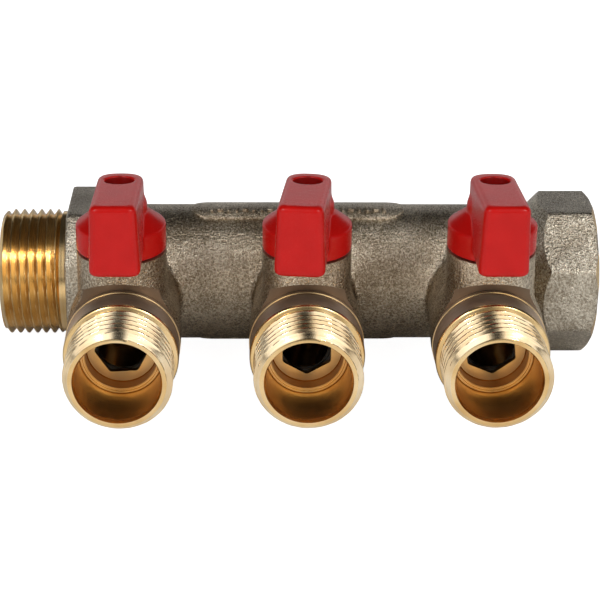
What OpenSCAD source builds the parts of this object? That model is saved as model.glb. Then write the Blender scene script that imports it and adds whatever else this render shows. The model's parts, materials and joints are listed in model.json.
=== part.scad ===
// Underfloor heating manifold: one nickel-plated brass body with a male end,
// an octagonal female end and three outlets, each with a quarter-turn ball valve.
// Origin: centre of the male end's face, on the main axis. +X runs along the
// main axis, the outlets point to -Y and the valve stems to +Z. Millimetres.

/* [Layout] */
// Distance between neighbouring outlets
outlet_pitch = 36; // [34:0.5:50]
// Male end's face to the first outlet
first_outlet = 27; // [27:0.5:40]
// Last outlet to the female end's face
last_outlet = 25; // [25:0.5:40]
// Main axis to the rim of an outlet
outlet_reach = 52; // [52:0.5:58]

/* [Main pipe] */
// Outside radius of the pipe
pipe_r = 14.3; // [14:0.1:14.6]
// Radius of the main bore
bore_r = 10; // [8:0.1:10.5]
// Width across flats of the octagon at the female end
octagon_af = 32; // [31:0.1:34]
// Male end's face to the shoulder of the eight-sided collar
male_len = 14; // [13.5:0.1:15]
// Length of the eight-sided collar behind the male thread
collar_len = 5.6; // [4.5:0.1:6.5]
// Height of the collar over its flats
collar_af = 32.4; // [31:0.1:34]
// Width of the collar's top, bottom, front and back flats
collar_flat = 17; // [13:0.5:18]
// Length of the octagon at the female end, its slope left out
socket_len = 9.7; // [8.5:0.1:10.5]
// Depth of the female thread
socket_depth = 14; // [12:0.1:15]

/* [Raised panels] */
// Length of the raised oblong panels on the pipe's top and bottom
panel_len = 44.5; // [20:0.5:46]
// Width of the panels
panel_w = 8.6; // [5:0.1:10]
// Height of the panels above the pipe
panel_h = 0.45; // [0.2:0.05:0.6]

/* [Handle] */
// Closing angle at which valve 1 stands
turn_1 = 0; // [0:1:90]
// Closing angle at which valve 2 stands
turn_2 = 6; // [0:1:90]
// Closing angle at which valve 3 stands
turn_3 = 0; // [0:1:90]
// Stem axis to the lever's front face
lever_front = 19; // [18:0.5:22]
// Half width of the lever at its top
lever_top_w = 4.3; // [4:0.1:4.6]
// Half width of the lever at its bottom
lever_bottom_w = 4.8; // [4.4:0.1:5.2]
// Height of the lever's front top edge above the main axis
lever_top = 34.3; // [33.5:0.1:36]

/* [Ball valve] */
// Radius of the ball
ball_r = 7.5; // [7.3:0.05:7.6]
// Radius of the bore through the ball
ball_bore_r = 4.75; // [3:0.05:4.9]
// Width across flats of the hexagonal key hole in the seat retainer
key_af = 9.5; // [7:0.1:10]
// Angle at which the key hole of retainer 1 stands
key_turn_1 = 57; // [0:1:59]
// Angle at which the key hole of retainer 2 stands
key_turn_2 = 30; // [0:1:59]
// Angle at which the key hole of retainer 3 stands
key_turn_3 = 23; // [0:1:59]

/* [Hidden] */
VALVE_PARTS = ["handle", "handle_screw", "stem", "stem_oring_lower", "stem_oring_upper",
               "thrust_washer", "ball", "inner_seat", "outer_seat", "seat_retainer"];
VALVES = [1, 2, 3];
TURNS = [turn_1, turn_2, turn_3];
KEY_TURNS = [key_turn_1, key_turn_2, key_turn_3];
SMOOTH = 96;
EPS = 0.5;

total_len = first_outlet + 2 * outlet_pitch + last_outlet;
octagon_r = octagon_af / 2 / cos(22.5);

// Pipe threads G3/4 (main) and G1/2 (outlets), 55 degree flanks.
thread_pitch = 1.814;
main_crest_r = 13.22;
main_root_r = 12.06;
main_crests = 6;
male_first_crest = 1.41;
male_land_x = 11.4;
male_land_r = 12.8;
socket_last_crest = 2.2;
out_crest_r = 10.45;
out_root_r = 9.3;
out_crests = 5;
flank_slope = tan(27.5);

// Female octagon.
socket_x = total_len - socket_len;
turned_r = octagon_r + 0.3;
slope_len = 3.5;
socket_edge_r = 15.7;
socket_chamfer = 1.3;
entry_r = 13.5;

// Valve body.
stem_y = -30;
branch_r = 11.3;
branch_flare_r = 12.9;
branch_flare_y = -6;
branch_flare_end = -17;
boss_r = 8.7;
boss_foot_r = 10.9;
boss_foot_z = 2.9;
boss_foot_end = 12;
boss_top = 18.2;
neck_r = 5.5;
neck_top = 20.5;
notch_r = 10.75;
notch_z = 3.6;
notch_y = -34.6;
collar_r = 11.2;
collar_y = -35.7;
face_y = -41.5;
mouth_r = 8.1;
mouth_edge_r = 8.5;
mouth_edge_len = 1;
rim_r = 9.2;

// Chamber, seats and retainer.
chamber_r = 7.75;
chamber_in = -23.6;
chamber_out = -33.5;
port_r = 5;
seat_r = 7.6;
seat_depth = 2.5;
seat_gap = 0.05;
retainer_r = 8.07;
retainer_front = -40.7;
retainer_recess_r = 7;
web_front = -37.6;
web_back = -36.4;

// Stem, washer and O-rings.
stem_r = 3.5;
stem_bore_r = 3.55;
stem_shoulder = 20.7;
stem_top = 27;
stem_square = 5;
tang_w = 2.9;
tang_len = 6.2;
slot_w = 3;
slot_floor = 5.5;
flange_r = 4.5;
flange_low = 8.5;
flange_top = 9.7;
pocket_r = 5;
pocket_low = 5.5;
pocket_top = 10.2;
oring_z = [12, 15];
oring_major = 2.93;
oring_minor = 0.6;
groove_r = 2.3;
groove_w = 1.4;
tap_r = 1.25;
tap_floor = 20.2;

// Stops: a lug on the boss runs in an arc slot under the hub.
lug_mid = 45;
lug_half = 20;
lug_r = 7;
stop_play = 1;
travel = 90;

// Handle.
hub_low = 18.6;
hub_r = 8.7;
hub_top = 23.5;
cone_r = 5.3;
cone_top = 26.1;
head_r = 5.2;
head_top = 29.3;
head_edge = 1.2;
cavity_r = 5.9;
slot_r = 7.3;
cavity_top = 21.3;
socket_square = 5.1;
socket_top = 27.2;
lever_low = 20.1;
lever_rear = 6;
lever_edge = 1.2;
lever_drop = 2.6;
recess_r = 2.85;
recess_floor = 28.7;
core_front = 17.2;
core_back = 10;
core_half = 2.8;
core_top = 31;
screw_hole_r = 1.8;
screw_r = 1.5;
screw_head_r = 2.6;
screw_head_h = 2;
screw_end = 21;
drive_w = 0.8;
drive_len = 3.4;
drive_depth = 1.1;

function outlet_x(n) = first_outlet + (n - 1) * outlet_pitch;

// Cylinder or cone along +X from x0 to x1.
module rod_x(x0, x1, r0, r1)
    translate([x0, 0, 0])
        rotate([0, 90, 0])
            cylinder(h = x1 - x0, r1 = r0, r2 = r1, $fn = SMOOTH);

// Cylinder or cone along -Y from y0 down to y1.
module rod_y(y0, y1, r0, r1)
    translate([0, y0, 0])
        rotate([90, 0, 0])
            cylinder(h = y0 - y1, r1 = r0, r2 = r1, $fn = SMOOTH);

// Vertical cylinder or cone on the stem axis from z0 to z1.
module post(z0, z1, r0, r1)
    translate([0, 0, z0])
        cylinder(h = z1 - z0, r1 = r0, r2 = r1, $fn = SMOOTH);

// Regular octagonal bar along +X with flats to +-Y and +-Z.
module octagon_x(x0, x1)
    translate([x0, 0, 0])
        rotate([0, 90, 0])
            rotate([0, 0, 22.5])
                cylinder(h = x1 - x0, r = octagon_r, $fn = 8);

// Eight-sided bar of the collar along +X, its cut corners narrower than its flats.
module collar_x(x0, x1) {
    half = collar_af / 2;
    flat = collar_flat / 2;
    translate([x0, 0, 0])
        rotate([0, 90, 0])
            linear_extrude(height = x1 - x0)
                polygon([
                    [half, -flat],
                    [half, flat],
                    [flat, half],
                    [-flat, half],
                    [-half, flat],
                    [-half, -flat],
                    [-flat, -half],
                    [flat, -half]
                ]);
}

// Thread ridges along +Z as rings on a root radius, first crest centred at z = 0.
module ridges(root_r, crest_r, count) {
    flank = abs(crest_r - root_r) * flank_slope;
    flat = (thread_pitch - 2 * flank) / 2;
    inner_r = min(root_r, crest_r) - EPS;
    rotate_extrude($fn = SMOOTH)
        for (i = [0 : count - 1])
            translate([0, i * thread_pitch])
                polygon([
                    [inner_r, -flat / 2 - flank],
                    [root_r, -flat / 2 - flank],
                    [crest_r, -flat / 2],
                    [crest_r, flat / 2],
                    [root_r, flat / 2 + flank],
                    [inner_r, flat / 2 + flank]
                ]);
}

// Sector of a disc from angle a0 to a1 (less than 180 apart), from z0 up to z1.
module wedge(a0, a1, r, z0, z1)
    translate([0, 0, z0])
        linear_extrude(height = z1 - z0)
            polygon([
                [0, 0],
                [2 * r * cos(a0), 2 * r * sin(a0)],
                [2 * r * cos((2 * a0 + a1) / 3), 2 * r * sin((2 * a0 + a1) / 3)],
                [2 * r * cos((a0 + 2 * a1) / 3), 2 * r * sin((a0 + 2 * a1) / 3)],
                [2 * r * cos(a1), 2 * r * sin(a1)]
            ]);

// Ring sector between two radii.
module arc_block(a0, a1, r_in, r_out, z0, z1)
    intersection() {
        difference() {
            post(z0, z1, r_out, r_out);
            post(z0 - EPS, z1 + EPS, r_in, r_in);
        }
        wedge(a0, a1, r_out, z0, z1);
    }

// Male end, collar, pipe, raised panels and female octagon.
module main_solid() {
    rod_x(0, male_len, main_root_r, main_root_r);
    translate([male_first_crest, 0, 0])
        rotate([0, 90, 0])
            ridges(main_root_r, main_crest_r, main_crests);
    rod_x(male_land_x, male_len, male_land_r, male_land_r);
    collar_x(male_len, male_len + collar_len);
    rod_x(male_len, total_len - EPS, pipe_r, pipe_r);
    intersection() {
        octagon_x(socket_x - slope_len, total_len);
        union() {
            rod_x(socket_x - slope_len, socket_x, pipe_r, turned_r);
            rod_x(socket_x, total_len - socket_chamfer, turned_r, turned_r);
            rod_x(total_len - socket_chamfer, total_len, turned_r, socket_edge_r);
        }
    }
    panel_x = total_len / 2 - panel_len / 2;
    intersection() {
        rod_x(panel_x - 1, panel_x + panel_len + 1, pipe_r + panel_h, pipe_r + panel_h);
        union() {
            translate([panel_x + panel_w / 2, -panel_w / 2, -2 * pipe_r])
                cube([panel_len - panel_w, panel_w, 4 * pipe_r]);
            for (x = [panel_x + panel_w / 2, panel_x + panel_len - panel_w / 2])
                translate([x, 0, -2 * pipe_r])
                    cylinder(h = 4 * pipe_r, r = panel_w / 2, $fn = SMOOTH);
        }
    }
}

// Female thread, main bore and its entry chamfers.
module main_cut() {
    rod_x(-EPS, total_len, bore_r, bore_r);
    rod_x(-EPS, 0.6, bore_r + 1.1, bore_r);
    rod_x(total_len - socket_depth, total_len + EPS, main_root_r, main_root_r);
    rod_x(total_len - 1.6, total_len + EPS, main_root_r - 0.1, entry_r + 0.3);
    translate([total_len - socket_depth + socket_last_crest, 0, 0])
        rotate([0, 90, 0])
            ridges(main_root_r, main_crest_r, main_crests);
}

// Branch, boss, stop lug, collar and threaded spout of one outlet. The tool that
// turns the collar also trims a notch out of the boss's foot.
module outlet_solid() {
    rod_y(-4, branch_flare_y, branch_flare_r, branch_flare_r);
    rod_y(branch_flare_y, branch_flare_end, branch_flare_r, branch_r);
    rod_y(branch_flare_end, collar_y, branch_r, branch_r);
    rod_y(collar_y, collar_y - 0.25, collar_r - 0.15, collar_r - 0.15);
    rod_y(collar_y - 0.25, face_y + 0.2, collar_r, collar_r);
    rod_y(face_y + 0.2, face_y, collar_r, collar_r - 0.2);
    rod_y(face_y + EPS, -outlet_reach + 0.7, out_root_r, out_root_r);
    rod_y(-outlet_reach + 0.7, -outlet_reach, out_root_r, rim_r);
    translate([0, -outlet_reach + 1.2, 0])
        rotate([-90, 0, 0])
            ridges(out_root_r, out_crest_r, out_crests);
    difference() {
        translate([0, stem_y, 0]) {
            post(0, boss_top, boss_r, boss_r);
            post(boss_foot_z, boss_foot_end, boss_foot_r, boss_r);
        }
        difference() {
            translate([0, 0, notch_z])
                rod_y(notch_y, face_y, notch_r, notch_r);
            rod_y(notch_y + EPS, face_y - EPS, collar_r - EPS, collar_r - EPS);
        }
    }
    translate([0, stem_y, 0]) {
        post(boss_top - EPS, neck_top, neck_r, neck_r);
        arc_block(lug_mid - lug_half, lug_mid + lug_half, neck_r - EPS, lug_r,
                  boss_top - EPS, neck_top);
    }
}

// Waterway, ball chamber, stem bore and mouth of one outlet.
module outlet_cut() {
    rod_y(0, stem_y, port_r, port_r);
    rod_y(chamber_in, chamber_out - EPS, chamber_r, chamber_r);
    rod_y(chamber_out, -outlet_reach - EPS, mouth_r, mouth_r);
    rod_y(-outlet_reach + mouth_edge_len, -outlet_reach, mouth_r, mouth_edge_r);
    translate([0, stem_y, 0]) {
        post(pocket_low, pocket_top, pocket_r, pocket_r);
        post(pocket_low, neck_top + EPS, stem_bore_r, stem_bore_r);
    }
}

module body()
    color([0.62, 0.58, 0.5])
        difference() {
            union() {
                main_solid();
                for (n = VALVES)
                    translate([outlet_x(n), 0, 0])
                        outlet_solid();
            }
            main_cut();
            for (n = VALVES)
                translate([outlet_x(n), 0, 0])
                    outlet_cut();
        }

// Lever bar with rounded edges, wider at the bottom and sloping down to the rear.
module lever() {
    rear_top = lever_top - lever_drop;
    hull() {
        for (s = [-1, 1]) {
            translate([s * (lever_top_w - lever_edge), lever_edge - lever_front, lever_top - lever_edge])
                sphere(r = lever_edge, $fn = 28);
            translate([s * (lever_bottom_w - lever_edge), lever_edge - lever_front, lever_low + lever_edge])
                sphere(r = lever_edge, $fn = 28);
            translate([s * (lever_bottom_w - lever_edge), -3, lever_low + lever_edge])
                sphere(r = lever_edge, $fn = 28);
            for (z = [rear_top - lever_edge, head_top - lever_edge]) {
                translate([s * (lever_top_w - lever_edge), lever_rear - 3.2, z])
                    sphere(r = lever_edge, $fn = 28);
                translate([s * (lever_top_w - 2.6), lever_rear - lever_edge, z])
                    sphere(r = lever_edge, $fn = 28);
            }
        }
    }
}

module handle()
    color([0.72, 0.05, 0.04])
        difference() {
            union() {
                post(hub_low, hub_top, hub_r, hub_r);
                post(hub_top, cone_top, hub_r, cone_r);
                post(cone_top, head_top - head_edge, head_r, head_r);
                post(head_top - head_edge, head_top, head_r, head_r - head_edge);
                lever();
            }
            post(hub_low - EPS, cavity_top, cavity_r, cavity_r);
            arc_block(lug_mid - lug_half - stop_play, lug_mid + lug_half + travel + stop_play,
                      cavity_r - EPS, slot_r, hub_low - EPS, cavity_top);
            translate([-socket_square / 2, -socket_square / 2, cavity_top - EPS])
                cube([socket_square, socket_square, socket_top - cavity_top + EPS]);
            post(socket_top - EPS, recess_floor + EPS, screw_hole_r, screw_hole_r);
            post(recess_floor, lever_top + EPS, recess_r, recess_r);
            translate([-core_half, -core_front, hub_low - EPS])
                cube([2 * core_half, core_front - core_back, core_top - hub_low + EPS]);
        }

module handle_screw()
    color([0.7, 0.7, 0.72])
        difference() {
            union() {
                post(screw_end, recess_floor + EPS, screw_r, screw_r);
                post(recess_floor, recess_floor + screw_head_h - 0.6, screw_head_r, screw_head_r);
                post(recess_floor + screw_head_h - 0.6, recess_floor + screw_head_h,
                     screw_head_r, screw_head_r - 0.6);
            }
            for (a = [0, 90])
                rotate([0, 0, a])
                    translate([-drive_len / 2, -drive_w / 2, recess_floor + screw_head_h - drive_depth])
                        cube([drive_len, drive_w, drive_depth + EPS]);
        }

module stem()
    color([0.8, 0.62, 0.3])
        difference() {
            union() {
                translate([-tang_len / 2, -tang_w / 2, slot_floor + 0.05])
                    cube([tang_len, tang_w, flange_low - slot_floor + EPS]);
                post(flange_low, flange_top, flange_r, flange_r);
                post(flange_top - EPS, stem_shoulder, stem_r, stem_r);
                intersection() {
                    post(stem_shoulder - EPS, stem_top, stem_r, stem_r);
                    translate([-stem_square / 2, -stem_square / 2, stem_shoulder - EPS])
                        cube([stem_square, stem_square, stem_top - stem_shoulder + EPS]);
                }
            }
            post(tap_floor, stem_top + EPS, tap_r, tap_r);
            for (z = oring_z)
                difference() {
                    post(z - groove_w / 2, z + groove_w / 2, stem_r + EPS, stem_r + EPS);
                    post(z - groove_w, z + groove_w, groove_r, groove_r);
                }
        }

module stem_oring(i)
    color([0.06, 0.06, 0.06])
        translate([0, 0, oring_z[i]])
            rotate_extrude($fn = SMOOTH)
                translate([oring_major, 0])
                    circle(r = oring_minor, $fn = 32);

module thrust_washer()
    color([0.12, 0.12, 0.11])
        translate([0, stem_y, 0])
            difference() {
                post(flange_top + seat_gap, pocket_top, pocket_r - 0.1, pocket_r - 0.1);
                post(flange_top - EPS, pocket_top + EPS, stem_bore_r + 0.05, stem_bore_r + 0.05);
            }

module ball()
    color([0.85, 0.85, 0.87])
        difference() {
            sphere(r = ball_r, $fn = SMOOTH);
            rod_y(2 * ball_r, -2 * ball_r, ball_bore_r, ball_bore_r);
            translate([-ball_r - EPS, -slot_w / 2, slot_floor])
                cube([2 * ball_r + 2 * EPS, slot_w, ball_r]);
        }

// Seat ring: its spherical face is concentric with the ball, its flat back at y_back.
module seat(y_back, dir)
    color([0.12, 0.12, 0.11])
        difference() {
            rod_y(max(y_back, y_back + dir * seat_depth), min(y_back, y_back + dir * seat_depth),
                  seat_r, seat_r);
            rod_y(max(y_back, y_back + dir * seat_depth) + EPS,
                  min(y_back, y_back + dir * seat_depth) - EPS, port_r, port_r);
            translate([0, stem_y, 0])
                sphere(r = ball_r + seat_gap, $fn = SMOOTH);
        }

module seat_retainer(key_turn)
    color([0.78, 0.6, 0.3])
        difference() {
            rod_y(chamber_out, retainer_front, retainer_r, retainer_r);
            rod_y(web_front, retainer_front - EPS, retainer_recess_r, retainer_recess_r);
            rod_y(chamber_out + EPS, web_back, seat_r + seat_gap, seat_r + seat_gap);
            translate([0, chamber_out, 0])
                rotate([90, key_turn, 0])
                    cylinder(h = chamber_out - retainer_front, r = key_af / 2 / cos(30), $fn = 6);
        }

// Places a valve's fixed pieces.
module fixed(n)
    translate([outlet_x(n), 0, 0])
        children();

// Places a valve's turning pieces on the stem axis, closed by the valve's angle.
module turning(n)
    translate([outlet_x(n), stem_y, 0])
        rotate([0, 0, -TURNS[n - 1]])
            children();

body();
for (n = VALVES) {
    turning(n) handle();
    turning(n) handle_screw();
    turning(n) stem();
    turning(n) stem_oring(0);
    turning(n) stem_oring(1);
    turning(n) ball();
    fixed(n) thrust_washer();
    fixed(n) seat(chamber_in, -1);
    fixed(n) seat(web_back, 1);
    fixed(n) seat_retainer(KEY_TURNS[n - 1]);
}
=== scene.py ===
import json
import math

import bmesh
import bpy
import numpy as np
from mathutils import Matrix, Vector


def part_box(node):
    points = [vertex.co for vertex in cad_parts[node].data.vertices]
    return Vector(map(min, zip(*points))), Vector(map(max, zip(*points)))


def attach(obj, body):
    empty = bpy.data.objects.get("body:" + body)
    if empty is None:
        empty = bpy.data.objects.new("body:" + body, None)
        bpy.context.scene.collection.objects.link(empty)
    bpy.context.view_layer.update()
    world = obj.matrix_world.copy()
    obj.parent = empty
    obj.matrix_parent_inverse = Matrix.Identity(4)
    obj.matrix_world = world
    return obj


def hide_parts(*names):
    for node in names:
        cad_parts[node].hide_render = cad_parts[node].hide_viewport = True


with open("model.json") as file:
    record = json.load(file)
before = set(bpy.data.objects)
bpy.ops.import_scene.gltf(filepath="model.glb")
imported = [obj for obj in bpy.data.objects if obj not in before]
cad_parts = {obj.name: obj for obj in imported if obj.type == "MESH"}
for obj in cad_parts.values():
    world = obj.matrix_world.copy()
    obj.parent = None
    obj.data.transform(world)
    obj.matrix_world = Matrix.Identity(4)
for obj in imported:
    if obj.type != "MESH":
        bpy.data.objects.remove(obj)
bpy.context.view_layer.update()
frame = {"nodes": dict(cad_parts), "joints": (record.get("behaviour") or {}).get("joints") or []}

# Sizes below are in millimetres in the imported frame: the main axis is X, the outlets point to -Y and
# the stems to +Z. A name that ends in _AT is a distance from the main axis along an outlet. The
# outlets' places and the levers' turns come from the joints.
MM = 0.001
ROOT = "manifold"
FLAT_SHADE_ANGLE = math.radians(32)

lo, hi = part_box("body")
TOTAL = hi.x / MM
REACH = -lo.y / MM
VALVES = []
for joint in frame["joints"]:
    VALVES.append({
        "n": joint["name"].rsplit("_", 1)[1],
        "body": joint["child"],
        "x": joint["pos_m"][0] / MM,
        "y": joint["pos_m"][1] / MM,
        "turn": -joint["range_deg"][0],
    })
STEM_Y = VALVES[0]["y"]

# Main pipe, its two eight-sided ends and the raised panels.
PIPE_R = 14.3
BORE_R = 10.0
COLLAR_X = (14.0, 19.6)
COLLAR_HALF = 16.2
COLLAR_FLAT = 8.5
SOCKET_HALF = 16.0
SLOPE_X = (110.8, 114.3)
CHAMFER_X = 122.7
CHAMFER_R = 15.7
SOCKET_DEPTH = 14.0
PANEL_LEN = 44.5
PANEL_W = 8.6
PANEL_R = 14.75

# Pipe threads: crest and root radii. The plain land lies between the inlet thread and the collar.
PITCH = 1.814
MAIN_CREST = 13.22
MAIN_ROOT = 12.06
MAIN_LEN = COLLAR_X[0]
LAND_LEN = 1.7
LAND_R = 12.8
OUT_CREST = 10.45
OUT_ROOT = 9.3

# Valve bodies: a branch that narrows to a neck at the pipe, a boss with a spread foot, and a turned
# band with a fine line around it between the casting and the outlet thread.
BRANCH_R = 11.3
NECK_R = 10.3
NECK_Y = (-32.0, -15.0)
BOSS_R = 8.7
BOSS_TOP = 18.2
FOOT_SPREAD = 1.9
FOOT_Z = (2.9, 12.0)
TRIM_R = 12.3
NOTCH_R = 10.75
NOTCH_Z = 3.6
NOTCH_AT = 34.6
BAND_R = 11.2
LINE_AT = 35.7
FACE_AT = 41.5
MOUTH_R = 8.1
MOUTH_EDGE_R = 8.5
RIM_R = 9.2
CHAMBER_R = 7.75
CHAMBER_AT = (23.6, 33.5)
SPOUT_ROOT_AT = 31.0
PORT_R = 5.0
STEM_POCKET_R = 5.0
STEM_POCKET_Z = (5.5, 10.2)
STEM_BORE_R = 3.55

# Seat retainers: a cup with a hexagon hole through its web, and a fine line on its front ring.
RETAINER_R = 8.07
RETAINER_AT = (33.5, 40.7)
RETAINER_LINE_R = 7.5
SEAT_RECESS_R = 7.65
CUP_R = 7.0
WEB_AT = (36.4, 37.6)
WEB_HOLE_R = 3.0
KEY_AF = 9.5
KEY_TURN = {"1": 57, "2": 30, "3": 23}

# Handles, relative to the stem axis. The slot for the boss's lug is an arc of these angles.
HUB_LOW = 18.6
HUB_R = 8.7
HUB_TOP = 23.5
CONE_R = 5.3
CONE_TOP = 26.1
HEAD_R = 5.2
HEAD_TOP = 29.3
LEVER_FRONT = -19.0
LEVER_REAR = 6.0
LEVER_LOW = 20.1
LEVER_TOP = 34.3
LEVER_DROP = 2.6
LEVER_TOP_W = 4.3
LEVER_LOW_W = 4.8
REAR_SLANT = 0.28
UNDER_ANGLE = math.radians(39.42)
UNDER_Y = -3.0
RECESS_R = 2.85
RECESS_FLOOR = 28.7
CAVITY_R = 5.9
CAVITY_TOP = 21.3
LUG_SLOT_R = 7.3
LUG_SLOT = (24.0, 156.0)
SQUARE_HALF = 2.55
SQUARE_LOW = 20.8
SQUARE_LEN = 6.4
SCREW_HOLE_R = 1.8
SCREW_HOLE_LOW = 26.0
CORE_HALF = 2.8
CORE_Y = (-17.2, -10.0)
CORE_TOP = 31.0


# ---------------------------------------------------------------- meshes

def link(obj):
    bpy.context.scene.collection.objects.link(obj)
    return obj


def mesh_object(name, verts, faces, mats=(), face_mats=None):
    """A smooth-shaded mesh object from vertices in millimetres."""
    me = bpy.data.meshes.new(name)
    me.from_pydata([tuple(v) for v in np.asarray(verts, float) * MM], [], [tuple(f) for f in faces])
    for m in mats:
        me.materials.append(m)
    if face_mats is not None:
        me.polygons.foreach_set("material_index", np.asarray(face_mats, np.int32))
    me.polygons.foreach_set("use_smooth", [True] * len(me.polygons))
    me.update()
    return link(bpy.data.objects.new(name, me))


def apply_modifiers(obj):
    """Replaces the object's mesh by the result of its modifiers."""
    graph = bpy.context.evaluated_depsgraph_get()
    graph.update()
    made = bpy.data.meshes.new_from_object(obj.evaluated_get(graph), depsgraph=graph)
    old = obj.data
    obj.modifiers.clear()
    obj.data = made
    bpy.data.meshes.remove(old)
    return obj


def boolean(obj, cutters, operation="DIFFERENCE"):
    """Cuts or intersects obj with closed meshes; the cut faces keep the cutter's material."""
    for c in cutters:
        mod = obj.modifiers.new("cut", "BOOLEAN")
        mod.operation = operation
        mod.solver = "MANIFOLD"
        mod.object = c
        mod.material_mode = "TRANSFER"
    apply_modifiers(obj)
    for c in cutters:
        data = c.data
        bpy.data.objects.remove(c)
        bpy.data.meshes.remove(data)
    return obj


def crisp(obj, angle=FLAT_SHADE_ANGLE):
    """Smooth shading with edges sharper than the angle kept sharp."""
    me = obj.data
    me.polygons.foreach_set("use_smooth", [True] * len(me.polygons))
    me.set_sharp_from_angle(angle=angle)
    me.update()
    return obj


AXES = {
    "-X": np.array([[0, 0, 1], [0, 1, 0], [-1, 0, 0]], float),
    "+X": np.array([[0, 1, 0], [0, 0, 1], [1, 0, 0]], float),
    "-Y": np.array([[1, 0, 0], [0, 0, 1], [0, -1, 0]], float),
    "+Z": np.array([[1, 0, 0], [0, 1, 0], [0, 0, 1]], float),
    "-Z": np.array([[1, 0, 0], [0, -1, 0], [0, 0, -1]], float),
}


def circles(profile, segments, axis, origin, thread):
    """The points of one circle for each (radius, distance along the axis) of the profile. A radius
    of None is read from thread(angle, distance)."""
    theta = np.linspace(0, 2 * math.pi, segments, endpoint=False)
    rings = []
    for r, s in profile:
        radius = thread(theta, s) if r is None else np.full(segments, float(r))
        rings.append(np.stack([radius * np.cos(theta), radius * np.sin(theta), np.full(segments, s)], 1))
    return np.concatenate(rings) @ AXES[axis] + np.asarray(origin, float)


def strip(i, j, segments):
    """The quads between circle i and circle j."""
    quads = []
    for k in range(segments):
        m = (k + 1) % segments
        quads.append((i * segments + k, i * segments + m, j * segments + m, j * segments + k))
    return quads


def turned(name, loop, axis, origin, segments=96, thread=None):
    """A turned ring-shaped solid. loop is a closed list of (radius, distance along the axis,
    material key of the stretch that starts here)."""
    keys = list(dict.fromkeys(key for _, _, key in loop))
    faces, face_mats = [], []
    for i, (_, _, key) in enumerate(loop):
        faces += strip(i, (i + 1) % len(loop), segments)
        face_mats += [keys.index(key)] * segments
    verts = circles([(r, s) for r, s, _ in loop], segments, axis, origin, thread)
    obj = mesh_object(name, verts, faces, [MAT[key] for key in keys], face_mats)
    bm = bmesh.new()
    bm.from_mesh(obj.data)
    bmesh.ops.recalc_face_normals(bm, faces=bm.faces)
    bm.to_mesh(obj.data)
    bm.free()
    return obj


def plug(name, profile, axis, origin, mat, segments=96, thread=None):
    """A solid of revolution from a list of (radius, distance), closed on the axis by flat ends."""
    faces = []
    for i in range(len(profile) - 1):
        faces += strip(i, i + 1, segments)
    faces.append(tuple(reversed(range(segments))))
    last = (len(profile) - 1) * segments
    faces.append(tuple(range(last, last + segments)))
    return mesh_object(name, circles(profile, segments, axis, origin, thread), faces, [mat])


def prism(name, corners, axis, origin, length, mat):
    """A prism over a convex polygon of (a, b) corners, going length along the axis."""
    n = len(corners)
    low = [(a, b, 0.0) for a, b in corners]
    top = [(a, b, length) for a, b in corners]
    verts = np.array(low + top) @ AXES[axis] + np.asarray(origin, float)
    faces = [tuple(reversed(range(n))), tuple(range(n, 2 * n))]
    faces += [(i, (i + 1) % n, n + (i + 1) % n, n + i) for i in range(n)]
    return mesh_object(name, verts, faces, [mat])


def regular(sides, half, turn):
    """Corners of a regular polygon by half its width over flats; turn is its first corner's angle."""
    corner = half / math.cos(math.pi / sides)
    angles = [math.radians(turn + 360 / sides * k) for k in range(sides)]
    return [(corner * math.cos(a), corner * math.sin(a)) for a in angles]


def rectangle(a_low, b_low, a_high, b_high):
    return [(a_low, b_low), (a_high, b_low), (a_high, b_high), (a_low, b_high)]


def bevelled(obj, width, segments=3, angle=25):
    """Bevels the edges sharper than the angle in degrees."""
    mod = obj.modifiers.new("edges", "BEVEL")
    mod.width = width * MM
    mod.segments = segments
    mod.limit_method = "ANGLE"
    mod.angle_limit = math.radians(angle)
    return apply_modifiers(obj)


# ---------------------------------------------------------------- smooth solids

def smin(a, b, k):
    """The lesser of a and b with a rounding k wide where they meet."""
    h = np.clip(k - np.abs(a - b), 0, None) / k
    return np.minimum(a, b) - h * h * k * 0.25


def smax(a, b, k):
    return -smin(-a, -b, k)


def step(a, b, v):
    """Goes smoothly from 0 at a to 1 at b."""
    t = np.clip((v - a) / (b - a), 0, 1)
    return t * t * (3 - 2 * t)


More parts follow.
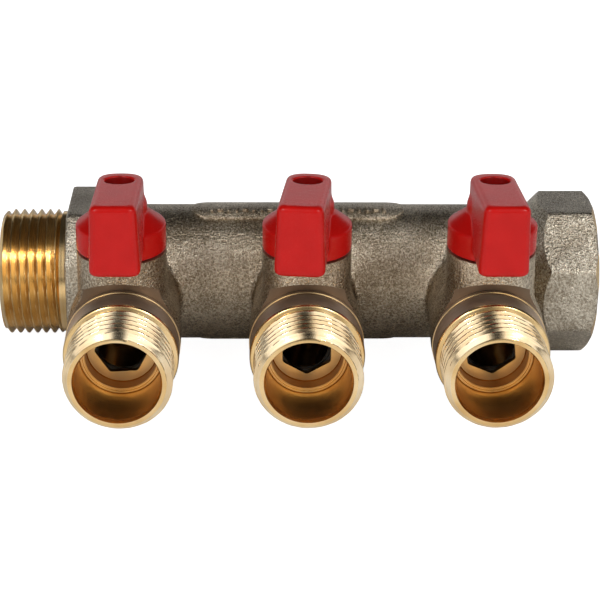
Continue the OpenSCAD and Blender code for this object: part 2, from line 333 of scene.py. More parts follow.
def net(name, solid, low, high, cell, mats, rounds=5):
    """The surface where solid(x, y, z) is zero, as quads whose points lie exactly on it."""
    low, high = np.asarray(low, float), np.asarray(high, float)
    counts = np.ceil((high - low) / cell).astype(int) + 1
    axes = [low[i] + cell * np.arange(counts[i]) for i in range(3)]
    d = solid(*np.meshgrid(*axes, indexing="ij"))
    inside = d < 0
    cells = tuple(counts - 1)
    total = np.zeros(cells, np.int8)
    for i in (0, 1):
        for j in (0, 1):
            for k in (0, 1):
                total += inside[i:i + cells[0], j:j + cells[1], k:k + cells[2]]
    active = (total > 0) & (total < 8)
    ids = np.full(cells, -1, np.int64)
    ids[active] = np.arange(active.sum())
    where = np.argwhere(active)
    points = low + (where + 0.5) * cell
    faces = []
    for axis in range(3):
        b, c = (axis + 1) % 3, (axis + 2) % 3
        first = np.moveaxis(inside, (axis, b, c), (0, 1, 2))
        cell_ids = np.moveaxis(ids, (axis, b, c), (0, 1, 2))
        change = first[:-1] != first[1:]
        rows = np.argwhere(change[:, 1:-1, 1:-1]) + (0, 1, 1)
        i, j, k = rows.T
        quad = np.stack([cell_ids[i, j - 1, k - 1], cell_ids[i, j, k - 1],
                         cell_ids[i, j, k], cell_ids[i, j - 1, k]], 1)
        flip = ~first[i, j, k]
        quad[flip] = quad[flip][:, ::-1]
        faces.append(quad)
    faces = np.concatenate(faces)
    around = np.concatenate([faces[:, [0, 1]], faces[:, [1, 2]], faces[:, [2, 3]], faces[:, [3, 0]]])
    weight = np.bincount(around[:, 0], minlength=len(points)) + np.bincount(
        around[:, 1], minlength=len(points))

    def onto(p):
        e = cell * 0.02
        for _ in range(3):
            x, y, z = p.T
            v = solid(x, y, z)
            g = np.stack([solid(x + e, y, z) - solid(x - e, y, z),
                          solid(x, y + e, z) - solid(x, y - e, z),
                          solid(x, y, z + e) - solid(x, y, z - e)], 1) / (2 * e)
            move = g * (v / np.maximum((g * g).sum(1), 0.2))[:, None]
            size = np.linalg.norm(move, axis=1, keepdims=True)
            p = p - move * np.minimum(1, cell * 0.6 / np.maximum(size, 1e-9))
        return p

    points = onto(points)
    for _ in range(rounds):
        mean = np.zeros_like(points)
        for a in range(3):
            mean[:, a] = (np.bincount(around[:, 0], points[around[:, 1], a], len(points))
                          + np.bincount(around[:, 1], points[around[:, 0], a], len(points)))
        points = onto(points + 0.5 * (mean / weight[:, None] - points))
    return mesh_object(name, points, faces, mats)


# ---------------------------------------------------------------- materials

class Graph:
    """Short-hand for building a node tree."""

    def __init__(self, tree):
        self.tree = tree

    def link(self, a, b):
        self.tree.links.new(a, b)

    def node(self, kind):
        return self.tree.nodes.new("ShaderNode" + kind)

    def math(self, operation, a, b=0.0):
        node = self.node("Math")
        node.operation = operation
        for socket, value in zip(node.inputs, (a, b)):
            if isinstance(value, (int, float)):
                socket.default_value = value
            else:
                self.link(value, socket)
        return node.outputs[0]

    def spread(self, value, low, high, out_low=0.0, out_high=1.0):
        node = self.node("MapRange")
        for key, v in (("From Min", low), ("From Max", high), ("To Min", out_low), ("To Max", out_high)):
            node.inputs[key].default_value = v
        self.link(value, node.inputs["Value"])
        return node.outputs[0]

    def ramp(self, value, stops):
        """A colour ramp; a stop's colour is three numbers, or one for a grey."""
        node = self.node("ValToRGB")
        points = node.color_ramp.elements
        while len(points) < len(stops):
            points.new(0.5)
        for point, (place, colour) in zip(points, stops):
            point.position = place
            point.color = (*colour, 1) if isinstance(colour, tuple) else (colour, colour, colour, 1)
        self.link(value, node.inputs["Fac"])
        return node.outputs["Color"]

    def split(self, vector):
        node = self.node("SeparateXYZ")
        self.link(vector, node.inputs[0])
        return node.outputs

    def blend(self, a, b, factor, kind="MIX"):
        """Mixes two colours; factor is a number or a socket."""
        node = self.node("Mix")
        node.data_type = "RGBA"
        node.blend_type = kind
        if isinstance(factor, float):
            node.inputs["Factor"].default_value = factor
        else:
            self.link(factor, node.inputs["Factor"])
        self.link(a, node.inputs["A"])
        self.link(b, node.inputs["B"])
        return node.outputs["Result"]


class Surface(Graph):
    """One material; its textures are laid out in millimetres."""

    def __init__(self, name):
        self.mat = bpy.data.materials.new(name)
        self.mat.use_nodes = True
        super().__init__(self.mat.node_tree)
        self.shader = self.tree.nodes["Principled BSDF"]
        self.mm = self.scaled("SCALE", "Scale", 1 / MM, self.node("TexCoord").outputs["Object"])

    def scaled(self, operation, key, value, vector):
        node = self.node("VectorMath")
        node.operation = operation
        node.inputs[key].default_value = value
        self.link(vector, node.inputs[0])
        return node.outputs[0]

    def noise(self, scale, detail=2.0, rough=0.5, stretch=None):
        node = self.node("TexNoise")
        node.inputs["Scale"].default_value = scale
        node.inputs["Detail"].default_value = detail
        node.inputs["Roughness"].default_value = rough
        place = self.mm if stretch is None else self.scaled("MULTIPLY", 1, stretch, self.mm)
        self.link(place, node.inputs["Vector"])
        return node.outputs["Fac"]

    def weighted(self, layers):
        """The sum of (texture, weight) layers."""
        total = None
        for texture, weight in layers:
            part = self.math("MULTIPLY", texture, weight)
            total = part if total is None else self.math("ADD", total, part)
        return total

    def bump(self, layers):
        """Chains bumps of (height, depth in millimetres) and drives the shader's normal."""
        normal = None
        for height, depth in layers:
            node = self.node("Bump")
            node.inputs["Strength"].default_value = 1.0
            node.inputs["Distance"].default_value = depth * MM
            self.link(height, node.inputs["Height"])
            if normal is not None:
                self.link(normal, node.inputs["Normal"])
            normal = node.outputs["Normal"]
        self.link(normal, self.shader.inputs["Normal"])

    def set(self, **values):
        for key, value in values.items():
            socket = self.shader.inputs[key.replace("_", " ")]
            if isinstance(value, (int, float, tuple)):
                socket.default_value = value
            else:
                self.link(value, socket)

    def emission(self, strength):
        node = self.node("Emission")
        if isinstance(strength, float):
            node.inputs["Strength"].default_value = strength
        else:
            self.link(strength, node.inputs["Strength"])
        return node.outputs[0]

    def added(self, a, b):
        """The sum of two shaders."""
        node = self.node("AddShader")
        self.link(a, node.inputs[0])
        self.link(b, node.inputs[1])
        return node.outputs[0]


def cast_nickel(name, stops):
    """Nickel plating over a shot-blasted casting: coarse bright and dark grains."""
    s = Surface(name)
    grain = s.noise(2.1, 2.0, 0.6)
    fine = s.noise(5.0)
    patch = s.noise(0.10)
    tone = s.weighted([(grain, 0.40), (fine, 0.35), (patch, 0.25)])
    s.set(Base_Color=s.ramp(tone, stops), Metallic=1.0, Roughness=s.spread(fine, 0.3, 0.7, 0.24, 0.34))
    s.bump([(grain, 0.28), (fine, 0.08), (patch, 0.4)])
    return s.mat


TURNING = {"X": (7.0, 0.03, 0.03), "Y": (0.03, 7.0, 0.03), "Z": (0.03, 0.03, 7.0)}


def turned_metal(name, along, stops, rough, depth=0.012):
    """Machined metal with fine turning marks around the given axis."""
    s = Surface(name)
    marks = s.noise(1.0, 2.0, 0.6, TURNING[along])
    stain = s.noise(0.16)
    speck = s.noise(2.5)
    roughness = s.math("ADD", s.spread(marks, 0.3, 0.7, rough - 0.04, rough + 0.04),
                       s.math("MULTIPLY", speck, 0.03))
    s.set(Base_Color=s.ramp(s.weighted([(marks, 0.30), (stain, 0.70)]), stops), Metallic=1.0,
          Roughness=roughness)
    s.bump([(marks, depth), (speck, 0.004)])
    return s.mat


def moulded(name, stops, rough, **values):
    """Moulded plastic or rubber: faint flow clouding and a light orange-peel surface."""
    s = Surface(name)
    cloud = s.noise(0.25, 3.0)
    peel = s.noise(1.2)
    fine = s.noise(9.0)
    s.set(Base_Color=s.ramp(cloud, stops), Roughness=s.spread(fine, 0.3, 0.7, rough - 0.03, rough + 0.05),
          **values)
    s.bump([(peel, 0.012), (fine, 0.002)])
    return s.mat


CAST_STOPS = [(0.41, (0.22, 0.165, 0.105)), (0.50, (0.43, 0.35, 0.25)), (0.59, (0.78, 0.68, 0.53))]
FLAT_STOPS = [(0.40, (0.27, 0.22, 0.155)), (0.50, (0.48, 0.415, 0.32)), (0.60, (0.80, 0.73, 0.60))]
NICKEL_STOPS = [(0.35, (0.54, 0.40, 0.29)), (0.52, (0.64, 0.49, 0.36)), (0.7, (0.74, 0.59, 0.45))]
# Painted shade: a darker nickel for the faces cut at the notch, where the band lies in shade.
SHADED_TRIM_STOPS = [(0.3, (0.17, 0.125, 0.085)), (0.7, (0.26, 0.20, 0.145))]
BRASS_STOPS = [(0.32, (0.68, 0.43, 0.17)), (0.5, (0.82, 0.57, 0.265)), (0.68, (0.90, 0.69, 0.39))]
# Painted highlight: a paler copy of the brass for the outlet threads, so their highlights read cream.
LIT_PALE_STOPS = [(0.32, (0.70, 0.50, 0.27)), (0.5, (0.81, 0.63, 0.39)), (0.68, (0.88, 0.74, 0.52))]
# Painted highlight: a brighter copy of the brass for the retainer's web and front ring, as if lit from the
# front.
LIT_GOLD_STOPS = [(0.3, (0.86, 0.58, 0.24)), (0.7, (0.97, 0.76, 0.42))]
# Painted shade: a darker, deeper copy of the brass for the inner wall of each outlet's mouth.
SHADED_MOUTH_STOPS = [(0.3, (0.66, 0.37, 0.11)), (0.7, (0.80, 0.50, 0.18))]
# Painted shade: a dark amber copy of the brass for the retainer cup's inner wall, the shadow ring inside its
# front ring.
SHADED_AMBER_STOPS = [(0.3, (0.20, 0.075, 0.013)), (0.7, (0.30, 0.13, 0.027))]
SHADOW_STOPS = [(0.3, (0.15, 0.095, 0.045)), (0.7, (0.24, 0.155, 0.07))]
CHROME_STOPS = [(0.3, (0.78, 0.78, 0.80)), (0.7, (0.86, 0.86, 0.88))]
ZINC_STOPS = [(0.3, (0.5, 0.5, 0.52)), (0.7, (0.68, 0.68, 0.7))]
RED_STOPS = [(0.3, (0.45, 0.0045, 0.003)), (0.7, (0.51, 0.006, 0.0045))]
# Painted shade: a darker copy of the red plastic for the inside of the screw recess.
RECESS_SHADE_STOPS = [(0.3, (0.20, 0.003, 0.002)), (0.7, (0.24, 0.004, 0.003))]
PTFE_STOPS = [(0.3, (0.035, 0.034, 0.03)), (0.7, (0.06, 0.058, 0.05))]
RUBBER_STOPS = [(0.3, (0.012, 0.012, 0.012)), (0.7, (0.02, 0.02, 0.02))]

# The last letter of a turned metal's key is the axis that its turning marks go around.
MAT = {
    "cast": cast_nickel("cast_nickel", CAST_STOPS),
    "cast_flat": cast_nickel("cast_nickel_flats", FLAT_STOPS),
    "nickel_y": turned_metal("turned_nickel_y", "Y", NICKEL_STOPS, 0.46),
    "nickel_x": turned_metal("turned_nickel_x", "X", NICKEL_STOPS, 0.40),
    "brass_x": turned_metal("turned_brass_x", "X", BRASS_STOPS, 0.20),
    "lit_pale_y": turned_metal("lit_pale_brass_y", "Y", LIT_PALE_STOPS, 0.14),
    "brass_y": turned_metal("turned_brass_y", "Y", BRASS_STOPS, 0.22),
    "brass_z": turned_metal("turned_brass_z", "Z", BRASS_STOPS, 0.26),
    "shaded_trim_y": turned_metal("shaded_trimmed_nickel_y", "Y", SHADED_TRIM_STOPS, 0.34),
    "lit_gold_y": turned_metal("lit_web_brass_y", "Y", LIT_GOLD_STOPS, 0.42),
    "shaded_mouth_y": turned_metal("shaded_mouth_brass_y", "Y", SHADED_MOUTH_STOPS, 0.30),
    "shaded_amber_y": turned_metal("shaded_amber_brass_y", "Y", SHADED_AMBER_STOPS, 0.34),
    "shadow_y": turned_metal("shaded_brass", "Y", SHADOW_STOPS, 0.35),
    "chrome": turned_metal("chromed_ball", "X", CHROME_STOPS, 0.1, 0.002),
    "steel": turned_metal("zinc_screw", "Z", ZINC_STOPS, 0.3),
    "red": moulded("red_plastic", RED_STOPS, 0.24, Specular_IOR_Level=0.22, Sheen_Weight=0.04,
                   Sheen_Roughness=0.25),
    "red_recess_shade": moulded("red_plastic_recess_shade", RECESS_SHADE_STOPS, 0.35, Specular_IOR_Level=0.15),
    "ptfe": moulded("filled_ptfe", PTFE_STOPS, 0.5),
    "rubber": moulded("black_rubber", RUBBER_STOPS, 0.6),
}


# ---------------------------------------------------------------- body casting

def casting(x, y, z):
    """Distance to the cast skin: the pipe with a branch and a boss for each valve."""
    d = np.hypot(y, z) - PIPE_R
    d = np.maximum(d, np.maximum(COLLAR_X[0] + 2 - x, x - SLOPE_X[1]))
    for valve in VALVES:
        u = x - valve["x"]
        branch_r = np.interp(y, NECK_Y, (BRANCH_R, NECK_R))
        branch = np.maximum(np.hypot(u, z) - branch_r, np.maximum(y, -NOTCH_AT - 2.5 - y))
        out = np.hypot(u, y - valve["y"])
        boss = np.maximum(out - BOSS_R, np.maximum(z - BOSS_TOP - 0.8, -z))
        foot = out - BOSS_R - FOOT_SPREAD * (1 - step(FOOT_Z[0], FOOT_Z[1], z))
        foot = np.maximum(foot, np.maximum(np.hypot(u, z) - BRANCH_R - 0.15, -z))
        d = smin(d, smin(smin(branch, foot, 1.0), boss, 2.0), 1.8)
    return d


CAST_CELL = 0.45
cast_low = (COLLAR_X[0], -42.2, -PIPE_R - 1.2)
cast_high = (SLOPE_X[1] + 1.5, PIPE_R + 1.2, BOSS_TOP + 2)
body = net("manifold_casting", casting, cast_low, cast_high, CAST_CELL, [MAT["cast"]])
cutters = [plug("bore", [(BORE_R, -2), (BORE_R, TOTAL + 2)], "+X", (0, 0, 0), MAT["brass_x"])]
for v in VALVES:
    at = (v["x"], 0, 0)
    notch_at = (v["x"], 0, NOTCH_Z)
    stem_at = (v["x"], v["y"], 0)
    cutters += [
        # The notch and trim cuts leave their faces in the darker nickel, which is painted shade.
        plug("notch", [(NOTCH_R, NOTCH_AT), (NOTCH_R, REACH)], "-Y", notch_at, MAT["shaded_trim_y"], 128),
        plug("trim", [(TRIM_R, NOTCH_AT), (TRIM_R, REACH)], "-Y", at, MAT["shaded_trim_y"], 128),
        plug("port", [(PORT_R, 2), (PORT_R, -STEM_Y)], "-Y", at, MAT["shadow_y"], 48),
        plug("chamber", [(CHAMBER_R, CHAMBER_AT[0]), (CHAMBER_R, CHAMBER_AT[1] + 3)], "-Y", at,
             MAT["shadow_y"], 64),
        plug("pocket", [(STEM_POCKET_R, z) for z in STEM_POCKET_Z], "+Z", stem_at, MAT["brass_z"], 48),
        plug("stem_bore", [(STEM_BORE_R, 7), (STEM_BORE_R, BOSS_TOP + 3)], "+Z", stem_at,
             MAT["brass_z"], 48),
        plug("boss_face", [(BOSS_R + 4, BOSS_TOP), (BOSS_R + 4, BOSS_TOP + 3)], "+Z", stem_at,
             MAT["nickel_x"], 64),
    ]
boolean(body, cutters)
crisp(body, math.radians(38))
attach(body, ROOT)
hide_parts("body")


# ---------------------------------------------------------------- raised panels

END_R = PANEL_W / 2
END_X = (PANEL_LEN - PANEL_W) / 2
MIDDLE_X = TOTAL / 2
oblong = []
for side in (1, -1):
    for a in np.radians(range(-90, 91, 6)):
        oblong.append((side * (END_X + END_R * math.cos(a)), side * END_R * math.sin(a)))


def along_pipe(name, radius):
    """A round bar along the pipe, longer than a panel."""
    return plug(name, [(radius, -PANEL_LEN), (radius, PANEL_LEN)], "+X", (MIDDLE_X, 0, 0), MAT["cast"], 128)


trims = []
for name, axis in (("panel_top", "+Z"), ("panel_bottom", "-Z")):
    pad = prism(name, oblong, axis, (MIDDLE_X, 0, 0), PANEL_R + 2, MAT["cast"])
    boolean(pad, [along_pipe("outer", PANEL_R)], "INTERSECT")
    boolean(pad, [along_pipe("inner", PIPE_R - 0.5)])
    bevelled(pad, 0.4, 1, 50)
    trims.append(crisp(pad, math.radians(50)))

# A plain row of raised bars stands where a maker would put its mark.
BAR_FIRST = 5.9
BAR_STEP = 1.75
BAR_HEIGHT = 0.85
for side in (-1, 1):
    for k in range(8):
        wide, deep = (0.22, 1.5) if k % 3 else (0.55, 1.0)
        bar = prism(f"mark_{len(trims)}", rectangle(-wide, -deep, wide, deep), "+Z",
                    (MIDDLE_X + side * (BAR_FIRST + BAR_STEP * k), -1.2, PIPE_R), BAR_HEIGHT, MAT["cast"])
        trims.append(crisp(bevelled(bar, 0.12, 2), math.radians(50)))


# ---------------------------------------------------------------- threads

def piecewise(stops):
    """A piecewise linear radius from (distance, radius) stops."""
    places, radii = zip(*stops)
    return lambda s: np.interp(s, places, radii)


def wave(phase, flatness):
    """A thread's profile from -1 to 1 over one turn of phase, with its tips cut flat."""
    return np.clip((np.abs((phase % 1.0) - 0.5) * 4 - 1) * flatness, -1, 1)


def thread_shape(crest, root, lead, limit, flatness=1.12):
    """Radius of a right-hand male thread as a function of the angle and the distance along the axis;
    limit(distance) tapers it at the ends."""
    def radius(theta, s):
        shaped = wave((s - lead) / PITCH - theta / (2 * math.pi), flatness)
        return np.minimum((crest + root) / 2 + (crest - root) / 2 * shaped, limit(s))
    return radius


THREAD_STEP = PITCH / 20


def along(a, b):
    """Even distances from a to b, close enough to draw a thread."""
    return list(np.linspace(a, b, max(2, int(math.ceil(abs(b - a) / THREAD_STEP)) + 1)))


# ---------------------------------------------------------------- eight-sided ends

half, flat = COLLAR_HALF, COLLAR_FLAT
collar_outline = [(half, -flat), (half, flat), (flat, half), (-flat, half),
                  (-half, flat), (-half, -flat), (-flat, -half), (flat, -half)]
collar_at = (COLLAR_X[0], 0, 0)
collar = prism("octagon_collar", collar_outline, "+X", collar_at, COLLAR_X[1] - COLLAR_X[0],
               MAT["cast_flat"])
bevelled(collar, 0.8)
boolean(collar, [plug("bore", [(BORE_R, -2), (BORE_R, 12)], "+X", collar_at, MAT["brass_x"])])
crisp(collar)

# The socket's thread fades out inwards and opens into a chamfer at the far face.
THREAD_FADE = piecewise([(0, 1), (10.5, 1), (13.0, 0)])
SOCKET_ENTRY = piecewise([(-1, 14.3), (0, 13.6), (1.7, 11.9)])


def female_thread(theta, s):
    """Radius of the female thread; s is the distance from the far face, negative inwards."""
    shaped = wave(-s / PITCH + theta / (2 * math.pi), 1.18)
    cut = MAIN_ROOT + (MAIN_CREST - MAIN_ROOT) / 2 * (1 + shaped) * THREAD_FADE(-s)
    return np.maximum(cut, SOCKET_ENTRY(-s))


socket_at = (SLOPE_X[0], 0, 0)
socket = prism("octagon_socket", regular(8, SOCKET_HALF, 22.5), "+X", socket_at, TOTAL - SLOPE_X[0],
               MAT["cast_flat"])
bevelled(socket, 0.6, 3, 40)
TURNED_R = SOCKET_HALF / math.cos(math.pi / 8) + 0.3
turning = plug("turning", [(PIPE_R - 0.05, SLOPE_X[0]), (TURNED_R, SLOPE_X[1]), (TURNED_R, CHAMFER_X),
                           (CHAMFER_R, TOTAL)], "+X", (0, 0, 0), MAT["cast_flat"], 128)
turning.data.materials.append(MAT["brass_x"])
for poly in turning.data.polygons:
    if poly.center.x > (CHAMFER_X + 0.5) * MM:
        poly.material_index = 1
boolean(socket, [turning], "INTERSECT")
boolean(socket, [
    plug("bore", [(BORE_R, -2), (BORE_R, 20)], "+X", socket_at, MAT["brass_x"]),
    plug("socket_thread", [(None, s) for s in along(-SOCKET_DEPTH, 0.5)], "+X", (TOTAL, 0, 0),
         MAT["brass_x"], 96, female_thread),
])
crisp(socket)


# ---------------------------------------------------------------- inlet and outlets

# Distances run from the collar's face towards the free end, along -X.
INLET_LEAD = 2.72
INLET_BORE_R = BORE_R + 0.02
inlet_helix = thread_shape(MAIN_CREST, MAIN_ROOT, INLET_LEAD, piecewise(
    [(0, LAND_R), (LAND_LEN, LAND_R), (LAND_LEN + 0.45, MAIN_CREST), (MAIN_LEN - 0.9, MAIN_CREST),
     (MAIN_LEN, 12.3)]))


def inlet_thread(theta, s):
    """The helix, run out into a plain land before the collar."""
    return inlet_helix(theta, s) if s > LAND_LEN else np.full(len(theta), LAND_R)


loop = [(INLET_BORE_R, -1.5, "brass_x"), (MAIN_ROOT - 0.1, -1.5, "brass_x")]
loop += [(None, s, "brass_x") for s in along(0.0, MAIN_LEN)]
loop += [(11.2, MAIN_LEN, "brass_x"), (INLET_BORE_R, MAIN_LEN - 0.8, "brass_x")]
inlet = turned("inlet_thread", loop, "-X", (MAIN_LEN, 0, 0), 144, inlet_thread)
crisp(inlet, math.radians(50))

# One outline serves every outlet: chamber, band with its line, shoulder, thread, rim and mouth.
outlet_helix = thread_shape(OUT_CREST, OUT_ROOT, REACH - 1.2, piecewise(
    [(0, OUT_ROOT), (FACE_AT + 0.25, OUT_ROOT), (FACE_AT + 0.7, OUT_CREST), (REACH - 0.9, OUT_CREST),
     (REACH, RIM_R + 0.1)]), 1.5)
loop = [
    (MOUTH_R, CHAMBER_AT[1], "brass_y"), (CHAMBER_R, CHAMBER_AT[1], "brass_y"),
    (CHAMBER_R, SPOUT_ROOT_AT, "nickel_y"), (10.6, SPOUT_ROOT_AT, "nickel_y"), (10.9, NOTCH_AT, "nickel_y"),
    (BRANCH_R - 0.02, NOTCH_AT + 0.1, "nickel_y"), (BRANCH_R - 0.02, LINE_AT - 0.08, "brass_y"),
    (BAND_R - 0.1, LINE_AT, "brass_y"), (BAND_R, LINE_AT + 0.08, "nickel_y"),
    (BAND_R, FACE_AT - 0.55, "brass_y"), (BAND_R - 0.12, FACE_AT - 0.2, "brass_y"),
    (BAND_R - 0.4, FACE_AT, "brass_y"), (OUT_ROOT + 0.25, FACE_AT, "brass_y"),
    (OUT_ROOT, FACE_AT + 0.25, "brass_y"),
]
# The outlet thread takes the paler brass, which is a painted highlight.
loop += [(None, s, "lit_pale_y") for s in along(FACE_AT + 0.3, REACH)[:-1]]
# The mouth's inner wall is in the darker brass, which is painted shade.
loop += [(None, REACH, "brass_y"), (MOUTH_EDGE_R, REACH, "brass_y"),
         (MOUTH_R + 0.06, REACH - 0.8, "shaded_mouth_y"), (MOUTH_R, REACH - 1.1, "shaded_mouth_y")]
spouts = []
for v in VALVES:
    spout = turned("outlet_spout_" + v["n"], loop, "-Y", (v["x"], 0, 0), 144, outlet_helix)
    spouts.append(crisp(spout, math.radians(50)))

for piece in (collar, socket, inlet, *trims, *spouts):
    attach(piece, ROOT)
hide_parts("body")


# ---------------------------------------------------------------- handles

def handle_shape(x, y, z):
    """Distance to a handle's skin: hub, head and lever blended, with the screw recess cut in."""
    r = np.hypot(x, y)
    slope = (HUB_R - CONE_R) / (CONE_TOP - HUB_TOP)
    cone = (r - HUB_R + (z - HUB_TOP) * slope) / math.hypot(1, slope)
    hub = smax(smax(r - HUB_R, cone, 0.25), HUB_LOW - z, 0.4)
    head = smax(smax(r - HEAD_R, z - HEAD_TOP, 2.2), HUB_LOW + 2 - z, 0.5)
    half_w = LEVER_LOW_W + (LEVER_TOP_W - LEVER_LOW_W) * (z - LEVER_LOW) / (LEVER_TOP - LEVER_LOW)
    tilt = math.atan2(LEVER_DROP, LEVER_REAR - LEVER_FRONT)
    top = (z - LEVER_TOP + (y - LEVER_FRONT) * math.tan(tilt)) * math.cos(tilt)
    sides = smax(LEVER_FRONT - y, np.abs(x) - half_w, 1.6)
    sides = smax(sides, y - LEVER_REAR + REAR_SLANT * np.maximum(0, LEVER_TOP - z - 3), 3.4)
    rising = (y - UNDER_Y) * math.sin(UNDER_ANGLE) - (z - LEVER_LOW) * math.cos(UNDER_ANGLE)
    lever = smax(smax(sides, top, 1.3), np.maximum(LEVER_LOW - z, rising), 1.5)
    solid = smin(smin(hub, head, 0.25), lever, 0.4)
    recess = smax(r - RECESS_R, RECESS_FLOOR - z, 0.2)
    return smax(solid, -recess, 0.3)


HANDLE_CELL = 0.28
UNDER_Z = HUB_LOW - 1
handle_low = (-9.6, LEVER_FRONT - 1.2, HUB_LOW - 0.9)
handle_high = (9.6, 9.6, LEVER_TOP + 1.2)
lug_sector = [(0.0, 0.0)]
for a in np.radians(np.linspace(LUG_SLOT[0], LUG_SLOT[1], 25)):
    lug_sector.append((LUG_SLOT_R * math.cos(a), LUG_SLOT_R * math.sin(a)))
square = rectangle(-SQUARE_HALF, -SQUARE_HALF, SQUARE_HALF, SQUARE_HALF)
core = rectangle(-CORE_HALF, CORE_Y[0], CORE_HALF, CORE_Y[1])
for v in VALVES:
    handle = net("handle_" + v["n"] + "_lever", handle_shape, handle_low, handle_high, HANDLE_CELL,
                 [MAT["red"]])
    boolean(handle, [
        plug("cavity", [(CAVITY_R, UNDER_Z), (CAVITY_R, CAVITY_TOP)], "+Z", (0, 0, 0), MAT["red"], 64),
        prism("lug_slot", lug_sector, "+Z", (0, 0, UNDER_Z), CAVITY_TOP - UNDER_Z, MAT["red"]),
        prism("square", square, "+Z", (0, 0, SQUARE_LOW), SQUARE_LEN, MAT["red"]),
        plug("screw_hole", [(SCREW_HOLE_R, SCREW_HOLE_LOW), (SCREW_HOLE_R, RECESS_FLOOR + 0.6)], "+Z",
             (0, 0, 0), MAT["red"], 32),
        prism("core", core, "+Z", (0, 0, UNDER_Z), CORE_TOP - UNDER_Z, MAT["red"]),
    ])
    crisp(handle, math.radians(40))
    # Painted shade: the faces inside the screw recess take the darker red.
    handle.data.materials.append(MAT["red_recess_shade"])
    for poly in handle.data.polygons:
        at = poly.center / MM
        if math.hypot(at.x, at.y) < RECESS_R + 0.06 and RECESS_FLOOR - 0.2 < at.z < LEVER_TOP - 2.4:
            poly.material_index = len(handle.data.materials) - 1
    handle.data.transform(Matrix.Translation((v["x"] * MM, v["y"] * MM, 0))
                          @ Matrix.Rotation(-math.radians(v["turn"]), 4, "Z"))
    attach(handle, v["body"])
    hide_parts("handle_" + v["n"])


# ---------------------------------------------------------------- seat retainers

back, front = RETAINER_AT
loop = [
    (WEB_HOLE_R, WEB_AT[0], "shadow_y"), (SEAT_RECESS_R, WEB_AT[0], "shadow_y"),
    (SEAT_RECESS_R, back, "brass_y"), (RETAINER_R, back, "brass_y"),
    # The front ring and the web are in the brighter brass, which is a painted highlight.
    (RETAINER_R, front - 0.2, "lit_gold_y"), (RETAINER_R - 0.15, front, "lit_gold_y"),
    (RETAINER_LINE_R + 0.06, front, "brass_y"), (RETAINER_LINE_R, front - 0.1, "brass_y"),
    (RETAINER_LINE_R - 0.06, front, "lit_gold_y"), (CUP_R + 0.12, front, "lit_gold_y"),
    # The cup's inner wall is in the dark amber brass, which is painted shade.
    (CUP_R, front - 0.15, "shaded_amber_y"), (CUP_R, WEB_AT[1] + 0.15, "shaded_amber_y"),
    (CUP_R - 0.15, WEB_AT[1], "lit_gold_y"), (WEB_HOLE_R, WEB_AT[1], "brass_y"),
]
for v in VALVES:
    ring = turned("retainer_" + v["n"], loop, "-Y", (v["x"], 0, 0))
    key = prism("key", regular(6, KEY_AF / 2, -KEY_TURN[v["n"]]), "-Y", (v["x"], -35, 0), 4, MAT["shadow_y"])
    bevelled(key, 0.5, 3, 40)
    boolean(ring, [key])
    crisp(ring)
    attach(ring, ROOT)
    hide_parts("seat_retainer_" + v["n"])


# ---------------------------------------------------------------- CAD nodes that stay

KEPT = {
    "handle_screw": "steel", "stem": "brass_z", "stem_oring_lower": "rubber", "stem_oring_upper": "rubber",
    "thrust_washer": "ptfe", "ball": "chrome", "inner_seat": "ptfe", "outer_seat": "ptfe",
}
for v in VALVES:
    for part, mat in KEPT.items():
        node = frame["nodes"][part + "_" + v["n"]]
        node.data.materials.clear()
        node.data.materials.append(MAT[mat])


# ---------------------------------------------------------------- floor

FLOOR_HALF = 3000
FLOOR_GAP = 0.2
corners = rectangle(-FLOOR_HALF, -FLOOR_HALF, FLOOR_HALF, FLOOR_HALF)
floor = mesh_object("floor", [(x, y, 0) for x, y in corners], [(0, 1, 2, 3)])
floor.location.z = lo.z - FLOOR_GAP * MM

# Seen directly, the floor is a white sheet. What the object mirrors of it is a plain pale floor with a
# painted pool of light: it glows a little in front of the outlets, and not under the object.
SHEET_GLOW = 0.94
FRONT_GLOW = 0.42
GLOW_Y = (-70.0, -32.0)
pale = Surface("pale_floor")
pale.set(Base_Color=pale.ramp(pale.noise(0.01), [(0.3, 0.66), (0.7, 0.70)]), Roughness=0.9)
plain = pale.shader.outputs[0]
painted_glow_pool = pale.spread(pale.split(pale.mm)["Y"], *GLOW_Y, FRONT_GLOW, 0.0)
pick = pale.node("MixShader")
pale.link(pale.node("LightPath").outputs["Is Camera Ray"], pick.inputs["Fac"])
pale.link(pale.added(plain, pale.emission(painted_glow_pool)), pick.inputs[1])
pale.link(pale.added(plain, pale.emission(SHEET_GLOW)), pick.inputs[2])
pale.link(pick.outputs[0], pale.tree.nodes["Material Output"].inputs["Surface"])
floor.data.materials.append(pale.mat)


# ---------------------------------------------------------------- light

# Greys over the height of the direction, from the horizon to the zenith: a large soft source in front
# with a dim strip below it, and behind a white sweep low down with dark above it. The front source has
# a gap in its middle, given over the sideways part of the direction.
FRONT_SKY = [(0.0, 0.50), (0.05, 0.42), (0.075, 0.12), (0.13, 0.12), (0.18, 0.90), (0.5, 1.05), (0.9, 1.0),
             (1.0, 0.9)]
BACK_SKY = [(0.0, 0.48), (0.19, 0.48), (0.28, 0.03), (1.0, 0.02)]
FRONT_GAP = [(0.0, 0.01), (0.06, 0.02), (0.12, 0.12), (0.21, 1.0), (1.0, 1.0)]
BACK_FROM = (-0.50, -0.21)
SKY_STRENGTH = 1.5

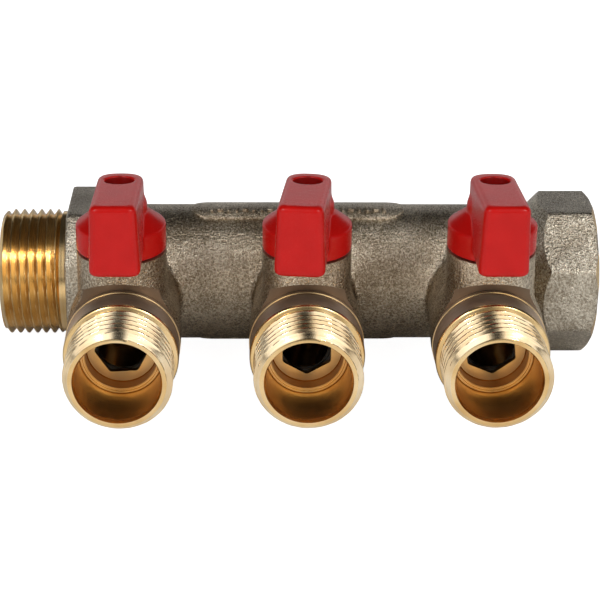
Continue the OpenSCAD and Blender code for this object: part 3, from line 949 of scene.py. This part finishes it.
world = bpy.data.worlds.new("studio")
bpy.context.scene.world = world
world.use_nodes = True
sky = Graph(world.node_tree)
way = sky.split(sky.node("TexCoord").outputs["Generated"])
gap = sky.ramp(sky.math("ABSOLUTE", way["X"]), FRONT_GAP)
front_sky = sky.blend(sky.ramp(way["Z"], FRONT_SKY), gap, 1.0, "MULTIPLY")
both = sky.blend(front_sky, sky.ramp(way["Z"], BACK_SKY), sky.spread(way["Y"], *BACK_FROM))
background = sky.tree.nodes["Background"]
sky.link(both, background.inputs["Color"])
background.inputs["Strength"].default_value = SKY_STRENGTH

centre = Vector(((lo.x + hi.x) / 2, STEM_Y * MM, 0.0))


def softbox(name, place, size, power):
    data = bpy.data.lights.new(name, "AREA")
    data.shape = "RECTANGLE"
    data.size, data.size_y = size[0] * MM, size[1] * MM
    data.energy = power
    lamp = link(bpy.data.objects.new(name, data))
    lamp.location = centre + Vector(place) * MM
    lamp.rotation_mode = "QUATERNION"
    lamp.rotation_quaternion = (centre - lamp.location).to_track_quat("-Z", "Y")


for name, side in (("key_left", -1), ("key_right", 1)):
    softbox(name, (side * 330, -300, 460), (130, 110), 0.9)


# ---------------------------------------------------------------- camera

# The camera looks at the outlets from above the front. ASIDE and RISE move it off the middle valve,
# square to the line of sight.
ELEVATION = math.radians(24.945)
YAW = math.radians(1.663)
ROLL = math.radians(-0.671)
DISTANCE = 381.14
ASIDE = 0.358
RISE = 6.270
LENS = 106.69
SENSOR = 36.0
right = Vector((1, 0, 0))
up = Vector((0, math.sin(ELEVATION), math.cos(ELEVATION)))
ahead = Vector((0, math.cos(ELEVATION), -math.sin(ELEVATION)))
place = -DISTANCE * ahead - ASIDE * right - RISE * up
rolled_right = math.cos(ROLL) * right - math.sin(ROLL) * up
rolled_up = math.sin(ROLL) * right + math.cos(ROLL) * up
unturn = Matrix.Rotation(-YAW, 3, "Z")
middle = Vector((VALVES[1]["x"], 0, 0))
cam_data = bpy.data.cameras.new("camera")
cam_data.sensor_width = SENSOR
cam_data.lens = LENS
cam_data.clip_start = 0.01
cam_data.clip_end = 20
cam = link(bpy.data.objects.new("camera", cam_data))
basis = Matrix((unturn @ rolled_right, unturn @ rolled_up, unturn @ -ahead)).transposed()
cam.matrix_world = Matrix.Translation((middle + unturn @ place) * MM) @ basis.to_4x4()
bpy.context.scene.camera = cam

bpy.context.scene.view_settings.view_transform = "Standard"
bpy.context.scene.view_settings.look = "None"
